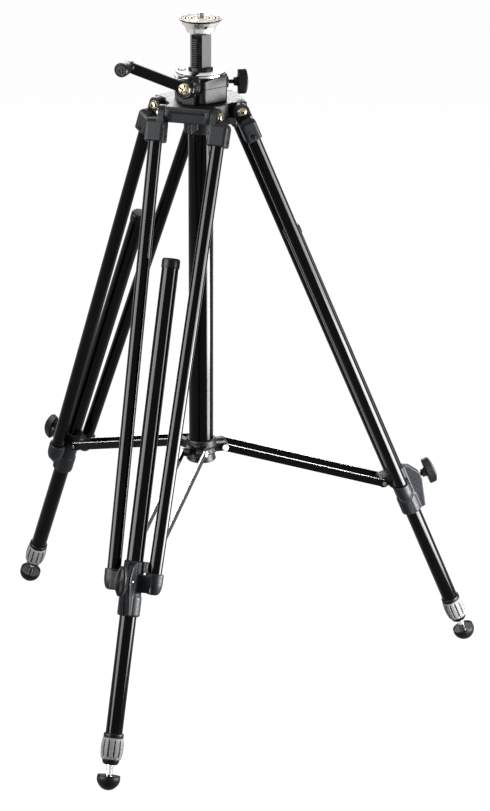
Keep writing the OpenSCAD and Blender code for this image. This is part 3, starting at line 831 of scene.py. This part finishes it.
def hinge_bolt_mesh():
    """Domed bolt head with a hexagon socket, on a washer."""
    head = lathe_mesh("head",
                      [(0, -0.4), (6.9, -0.4), (6.9, 0.5, 0.3), (6.2, 0.6), (6.2, 2.6, 0.5), (5.2, 4, 0.9),
                               (0, 4.6)], 48)
    socket = stack_mesh("socket", circle_outline(2.6, 6), [(2.2, 0), (6, 0)])
    return cut(head, [socket])


def collar_mesh():
    """Collar casting in the leg's axes: sleeve, clamp fin, strut cups, webs and the spreader's lug."""
    sleeve = transformed(lathe_mesh("sleeve",
                                    [(0, -sleeve_end), (14.6, -sleeve_end, 1.2), (16, -sleeve_end + 2, 1),
                                               (16, -ear_s - 36, 1.5), (14.6, -ear_s - 33, 1.5),
                                               (14.6, -ear_s + 13.4, 1.2), (13.4, -ear_s + 15, 0.8),
                                               (0, -ear_s + 15)]), move(tube_n, 0, 0))
    fin = prism_y([(tube_n, -ear_s + 13), (17, -ear_s + 13), (26, -ear_s + 8), (knob_boss_n, -ear_s - 8),
                   (knob_boss_n, -ear_s - 19), (33, -ear_s - 30), (25, -sleeve_end + 1),
                   (tube_n, -sleeve_end + 1)],
                  -7.8, 7.8)
    stock = [sleeve, fin]
    for sign in (-1, 1):
        lean = move(0, sign * strut_half_top, 0) @ turn(-sign * strut_lean, "X")
        cup = lathe_mesh("cup",
                         [(0, -ear_s - 30), (5, -ear_s - 30), (9.5, -ear_s - 28.5, 3), (12.8, -ear_s - 19, 5),
                                 (12.8, -ear_s - 0.6, 0.8), (12, -ear_s, 0.6), (0, -ear_s)])
        stock.append(transformed(cup, lean))
    stock += [block_mesh((7.6, -30, -ear_s - 28), (14, 30, -ear_s - 3)),
              block_mesh((lug_n, -13.4, -lug_s - 7.4), (-4, 13.4, -lug_s + 7.4)),
              prism_y([(-4, -lug_s + 7), (lug_n + 4, -lug_s - 4), (-6, -lug_s - 34), (4, -lug_s - 34)], -5,
                      5),
              rod_y(8, -14.2, 14.2, lug_n, -lug_s)]
    bores = [transformed(rod_mesh(tube_r + 0.05, -ear_s - 90, -ear_s + 40), move(tube_n, 0, 0)),
             block_mesh((14, -0.7, -ear_s - 80), (60, 0.7, -ear_s + 30))]
    for sign in (-1, 1):
        lean = move(0, sign * strut_half_top, 0) @ turn(-sign * strut_lean, "X")
        bores.append(transformed(rod_mesh(strut_r, -ear_s - 22, -ear_s + 20), lean))
        bores.append(block_mesh((-30, min(sign * 14.9, sign * 18.7), -ear_s - 80),
                                (7.6, max(sign * 14.9, sign * 18.7), -ear_s + 30)))
    return fuse(stock, bores, 0.8, 5)


def foot_lock_mesh():
    flutes = 12
    lock_s, lock_end = leg_length - 58.5, leg_length - 28

    def ripple(angle, z):
        along = (z + lock_end) / (lock_end - lock_s)
        fade = max(0, min(1, (along - 0.06) / 0.08, (0.93 - along) / 0.06))
        wave = max(0, math.cos(flutes * angle) * 1.5 - 0.5)
        return 1 - 0.1 * wave * fade
    profile = [(inner_r + 0.1, -lock_end), (12.8, -lock_end, 0.4)]
    profile += [(13.4 + 2.5 * math.sin(math.pi * (0.12 + 0.7 * k / 14)), -lock_end + 1 + k * 28.2 / 14)
                for k in range(15)]
    profile += [(13.9, -lock_s - 0.4), (tube_r + 0.1, -lock_s)]
    # Painted shade: a dark core just inside the flutes fills the bottoms of the grooves so that they read
    # dark.
    core = [(r * 0.955 - 0.1, z) for r, z, *_ in profile[3:-2]]
    return (lathe_mesh("foot_lock", profile, 300, ripple, 50),
            lathe_mesh("lock_shade_core", [(inner_r + 1, core[0][1]), *core, (inner_r + 1, core[-1][1])], 60))


def make_leg(leg, meshes):
    axes = leg_axes(leg)
    tube = axes @ move(tube_n, 0, 0)
    body = f"{leg}_leg"
    for k, sign in enumerate((-1, 1)):
        stands = [f"{leg}_hinge_castings"] if k == 0 else []
        add_piece(f"{leg}_strut_casting_{k}", meshes["hinge"][sign], strut_axes(leg, sign), CASTING, body,
                  "casting", stands)
        stands = ["leg_hinge_bolts"] if k == 0 and leg == "front" else []
        add_piece(f"{leg}_hinge_bolt_{k}", meshes["bolt"],
                  side_axes(leg) @ move(hinge_r, sign * 44.1, hinge_z)
                  @ turn(-90 * sign, "X"), ZINC, "base", "bolt_cream", stands)
        for end, side in enumerate((-1, 1)):
            pin = strut_axes(leg, sign) @ move(0, side * 14.2, -casting_end + 7) @ turn(-90 * side, "X")
            add_piece(f"{leg}_casting_screw_{k}_{end}", meshes["screw"], pin, PLASTIC, body, "black_plastic")
    add_piece(f"{leg}_collar_casting", meshes["collar"], axes, CASTING, body, "casting", [f"{leg}_collar"])
    add_piece(f"{leg}_collar_screw", meshes["rivet"],
              axes @ move(24, 7.2, -ear_s - 14) @ turn(80, "Z") @ ALONG_X,
              ZINC, body, "bolt_cream")
    add_piece(f"{leg}_knob", meshes["knob"], axes @ move(0, 0, -ear_s - 14) @ ALONG_X @ turn(90, "Z"),
              KNOB, f"{leg}_knob", "black_plastic", [f"{leg}_lock_knob"])
    add_piece(f"{leg}_knob_screw", meshes["knob_screw"], axes @ move(0, 0, -ear_s - 14) @ ALONG_X, PLASTIC,
              f"{leg}_knob", "black_plastic")
    add_piece(f"{leg}_top_plug", meshes["plug"], tube, PLASTIC, f"{leg}_lower", "black_plastic",
              [f"{leg}_tube_cap"])
    add_piece(f"{leg}_lock_ring", meshes["ring"], tube, PLASTIC, f"{leg}_lower", "black_plastic",
              [f"{leg}_tube_ring"])
    add_piece(f"{leg}_twist_lock", meshes["lock"], tube, FLUTED, f"{leg}_foot_lock", "polished",
              [f"{leg}_foot_lock"])
    # Painted shade in the lock's grooves.
    add_piece(f"{leg}_lock_groove_shade", meshes["core"], tube, GROOVE_SHADE, f"{leg}_foot_lock", "polished")
    add_piece(f"{leg}_end_ring", meshes["stop"], tube, PLASTIC, f"{leg}_inner", "black_plastic",
              [f"{leg}_stop_ring"])
    add_piece(f"{leg}_ball_foot", meshes["foot"], tube, RUBBER, f"{leg}_inner", "rubber",
              [f"{leg}_rubber_foot"])
    bars = side_axes(leg) @ move(hub_r, 0, hub_z) @ turn(bar_slope, "Y")
    for k, sign in enumerate((-1, 1)):
        stands = [f"{leg}_spreader_bars"] if k == 0 else []
        add_piece(f"{leg}_bar_{k}", meshes["bar"],
                  bars @ move(0, sign * (bar_in + bar_t / 2), 0) @ turn(90, "X"), TUBE, f"{leg}_bars",
                  "black_tube", stands)
        # Painted highlight: a thin strip of lighter satin metal along the top edge of each bar stands for the
        # bright reflection that runs there.
        add_piece(f"{leg}_bar_highlight_strip_{k}", meshes["bar_highlight_strip"],
                  bars @ move(0, sign * (bar_in + bar_t / 2), bar_h / 2 - 0.05), FACED, f"{leg}_bars",
                  "black_tube")
        stands = [f"{leg}_bar_rivets"] if k == 0 else []
        add_piece(f"{leg}_bar_rivet_{k}", meshes["flat_rivet"],
                  bars @ move(bar_len, sign * (bar_in + bar_t - 0.05), 0) @ turn(-90 * sign, "X"), ZINC,
                  f"{leg}_bars", "bolt_cream", stands)
        add_piece(f"{leg}_hub_bolt_{k}", meshes["hub_bolt"],
                  side_axes(leg) @ move(hub_r, sign * (bar_in + bar_t + 0.1), hub_z) @ turn(-90 * sign, "X"),
                  FACED, "hub", "bolt_cream", ["hub_bolts"] if k == 0 and leg == "front" else [])
    for k, sign in enumerate((-1, 1)):
        add_piece(f"{leg}_strut_{k}", meshes["strut"], strut_axes(leg, sign), TUBE, body, "black_tube",
                  [f"{leg}_struts"] if k == 0 else [])
    add_piece(f"{leg}_sliding_tube", meshes["sliding_tube"], tube, TUBE, f"{leg}_lower", "black_tube",
              [f"{leg}_lower_tube"])
    add_piece(f"{leg}_inner_rod", meshes["inner_tube"], tube, STEEL, f"{leg}_inner", "bright_steel",
              [f"{leg}_inner_tube"])


def pipe_mesh(name, outer, inner, low, high):
    """A tube open at both ends, with broken edges."""
    return lathe_mesh(name, [(inner, low), (outer - 0.3, low), (outer, low + 0.3), (outer, high - 0.3),
                             (outer - 0.3, high), (inner, high), (inner, low)], 72)


def make_legs():
    ring_s, lock_s = leg_length - 64.5, leg_length - 58.5
    lock_end, stop_end = leg_length - 28, leg_length - 20.5
    foot = [(5.1, -leg_length - 3), (5.1, -leg_length + 4.2), (14.6, -leg_length + 4.2, 0.4),
            (15.2, -leg_length + 5.6, 0.3), (16.4, -leg_length + 5.5, 0.3)]
    for a in range(14, -86, -4):
        swell = foot_r + 1.1 * max(0, min(1, (a + 42) / 42))
        foot.append((swell * math.cos(math.radians(a)), -leg_length + swell * math.sin(math.radians(a))))
    foot.append((0, -leg_length - foot_r))
    lock, core = foot_lock_mesh()
    meshes = {
        "hinge": {sign: hinge_casting_mesh(sign) for sign in (-1, 1)},
        "bolt": hinge_bolt_mesh(),
        "screw": lathe_mesh("cap_screw",
                            [(0, 1.1), (1.2, 1.1), (1.3, 1.9, 0.2), (2.8, 1.8, 0.4), (3.4, 0.9, 0.3),
                                          (3.4, -0.5)][::-1], 28),
        "rivet": lathe_mesh("rivet", [(2.2, -0.5), (2.2, 0.3, 0.3), (1.5, 1.1, 0.5), (0, 1.35)], 24),
        "collar": collar_mesh(),
        "knob": knob_mesh(38.5, 45.5, 21),
        "knob_screw": lathe_mesh("knob_screw", [(3, 16.2), (3, 40)], 24),
        "plug": lathe_mesh("plug", [(tube_r, -tube_top_s - 14), (13, -tube_top_s - 13.6, 0.4),
                                    (13, -tube_top_s - 3.4, 0.5), (12.4, -tube_top_s - 1.2, 1),
                                    (10.6, -tube_top_s, 1), (0, -tube_top_s)], 56),
        "inner_tube": lathe_mesh("inner_tube", [
            (0, -leg_length + 4), (5, -leg_length + 4), (5, -stop_end), (inner_r, -stop_end),
            (inner_r, -inner_top - 18), (slider_r, -inner_top - 18), (slider_r, -inner_top),
            (inner_r - 1.4, -inner_top), (inner_r - 1.4, -stop_end + 22), (0, -stop_end + 22)], 56),
        "strut": pipe_mesh("strut", strut_r - 0.02, strut_r - 1.5, -ear_s - 21.8, -15),
        "sliding_tube": pipe_mesh("sliding_tube", tube_r, tube_r - 1.6, -lock_s + 1, -tube_top_s - 2),
        "ring": lathe_mesh("ring",
                           [(tube_r, -lock_s + 0.1), (14.2, -lock_s + 0.1, 0.3), (14.2, -ring_s - 1, 0.8),
                                    (13.2, -ring_s, 0.4), (tube_r, -ring_s)], 56),
        "lock": lock,
        "core": core,
        "stop": lathe_mesh("stop",
                           [(5.2, -stop_end + 0.2), (9.2, -stop_end + 0.2, 0.6), (11.4, -stop_end + 2.4, 1),
                                    (12.4, -lock_end - 0.6, 0.4), (11.8, -lock_end - 0.1),
                                    (8, -lock_end - 0.1)], 56),
        "foot": lathe_mesh("foot", foot, 64, None, 50),
        "bar": stack_mesh("bar", slot_outline(bar_len, bar_h / 2),
                          [(-1.5, 0.5), (-1.1, 0), (1.1, 0), (1.5, 0.5)]),
        # Painted highlight strip for the top edge of each bar.
        "bar_highlight_strip": stack_mesh("bar_highlight_strip",
                               rounded_polygon([(1, -1.15), (bar_len - 1, -1.15), (bar_len - 1, 1.15),
                                                            (1, 1.15)], 0.6),
                                                            [(0, 0), (0.15, 0), (0.25, 0.15)]),
        "flat_rivet": lathe_mesh("flat_rivet", [(3.4, -0.3), (3.4, 0.15, 0.1), (2.2, 0.32), (0, 0.34)], 28),
        "hub_bolt": lathe_mesh("hub_bolt", [(4.7, -0.2), (4.7, 1.2, 0.5), (3.2, 2.2, 0.7), (1.8, 2.4, 0.3),
                                            (1.5, 1.8), (0, 1.8)], 36),
    }
    for leg in LEGS:
        make_leg(leg, meshes)


def make_hub():
    low = hub_z - 9
    ring = lathe_mesh("ring", [(0, low), (22.2, low, 0.6), (23, low + 1, 0.5), (23, low + 4, 0.5),
                               (22, low + 5, 0.4), (22, low + 10, 0.4), (23, low + 11, 0.5),
                               (23, low + 15, 0.5),
                               (22, low + 16, 0.4), (22, low + 19.4, 1), (20.5, low + 22, 0.8),
                               (0, low + 22)], 96)
    stock = [ring]
    for leg in LEGS:
        spin = turn(LEGS[leg], "Z")
        stock += [transformed(mesh, spin) for mesh in (
            block_mesh((14, 5, hub_z - 6.4), (hub_r, 14.9, hub_z + 6.4)),
            block_mesh((14, -14.9, hub_z - 6.4), (hub_r, -5, hub_z + 6.4)),
            rod_y(6.9, 5, 14.9, hub_r, hub_z), rod_y(6.9, -14.9, -5, hub_r, hub_z),
            block_mesh((14, -8, hub_z - 4), (hub_r - 6, 8, hub_z + 4)))]
    mesh = fuse(stock, [rod_mesh(18.2, hub_z - 30, hub_z + 30, 96)], 0.6, 4)
    add_piece("spreader_hub", mesh, CENTRE, HUB_PAINT, "hub", "casting", ["hub"])


# ---------------------------------------------------------------- stage, light, camera
def make_stage():
    mesh = bpy.data.meshes.new("floor")
    size = 14
    mesh.from_pydata([(-size, -size, 0), (size, -size, 0), (size, size, 0), (-size, size, 0)], [],
                     [(0, 1, 2, 3)])
    floor = bpy.data.objects.new("floor", mesh)
    floor.location.z = -0.0005
    bpy.context.scene.collection.objects.link(floor)
    # The floor glows evenly by itself, so it shows white and takes no shadow.
    material, _, shader = new_material("pale_floor")
    shader.inputs["Base Color"].default_value = (0.012, 0.012, 0.012, 1)
    shader.inputs["Roughness"].default_value = 0.9
    shader.inputs["Specular IOR Level"].default_value = 0
    shader.inputs["Emission Color"].default_value = (1, 1, 1, 1)
    shader.inputs["Emission Strength"].default_value = 0.97
    mesh.materials.append(material)
    world = bpy.data.worlds.new("studio")
    bpy.context.scene.world = world
    world.use_nodes = True
    background = world.node_tree.nodes["Background"]
    background.inputs["Color"].default_value = (1, 1, 1, 1)
    background.inputs["Strength"].default_value = 0.98


def add_light(name, azimuth, distance, height, width, tall, radiance, aim_z=0.55):
    """A soft box. Azimuth is measured from the camera's side, positive to the viewer's right."""
    light = bpy.data.lights.new(name, "AREA")
    light.shape = "RECTANGLE"
    light.size, light.size_y = width, tall
    light.energy = radiance * math.pi * width * tall
    lamp = bpy.data.objects.new(name, light)
    bpy.context.scene.collection.objects.link(lamp)
    a = math.radians(-90 + camera_azimuth + azimuth)
    lamp.location = (distance * math.cos(a), centre_shift * MM + distance * math.sin(a), height)
    aim = Vector((0, centre_shift * MM, aim_z)) - lamp.location
    lamp.rotation_euler = aim.to_track_quat("-Z", "Y").to_euler()
    lamp.visible_camera = False


camera_azimuth = 17.06
camera_elevation = 20.51
camera_distance = 4.0
camera_lens = 120.6
camera_roll = 0.267
aim_x, aim_z = 0.0679, 0.430


def make_camera():
    a, e = math.radians(camera_azimuth), math.radians(camera_elevation)
    back = Vector((math.sin(a) * math.cos(e), -math.cos(a) * math.cos(e), math.sin(e)))
    target = Vector((aim_x, centre_shift * MM, aim_z))
    camera = bpy.data.objects.new("camera", bpy.data.cameras.new("camera"))
    bpy.context.scene.collection.objects.link(camera)
    camera.data.lens = camera_lens
    camera.data.sensor_width = 36
    camera.matrix_world = (Matrix.Translation(target + back * camera_distance)
                           @ (-back).to_track_quat("-Z", "Y").to_matrix().to_4x4()
                           @ turn(camera_roll, "Z"))
    bpy.context.scene.camera = camera


make_camera()
make_stage()
add_light("left_box", -64, 1.9, 1.15, 1.5, 1.6, 40, 0.6)
add_light("right_box", 76, 1.35, 0.47, 1.0, 0.92, 58, 0.47)
add_light("right_leg_box", 75, 0.95, 0.25, 0.52, 0.48, 90, 0.25)
add_light("back_box", 180, 2.6, 2.0, 2.4, 1.4, 14)
add_light("top_box", 20, 0.4, 3.0, 2.5, 2.5, 3)

make_crown()
make_housing()
make_flange()
make_guide_bush()
make_sheath_cup()
make_plate()
make_stud()
make_rack()
make_crank()
make_knobs()
make_legs()
make_hub()
dress("column", COLUMN_BLACK)
dress("crank_shaft", STEEL)
dress("pinion", STEEL)
dress("drive_wheel", BRASS)

bpy.context.scene.view_settings.view_transform = "Standard"
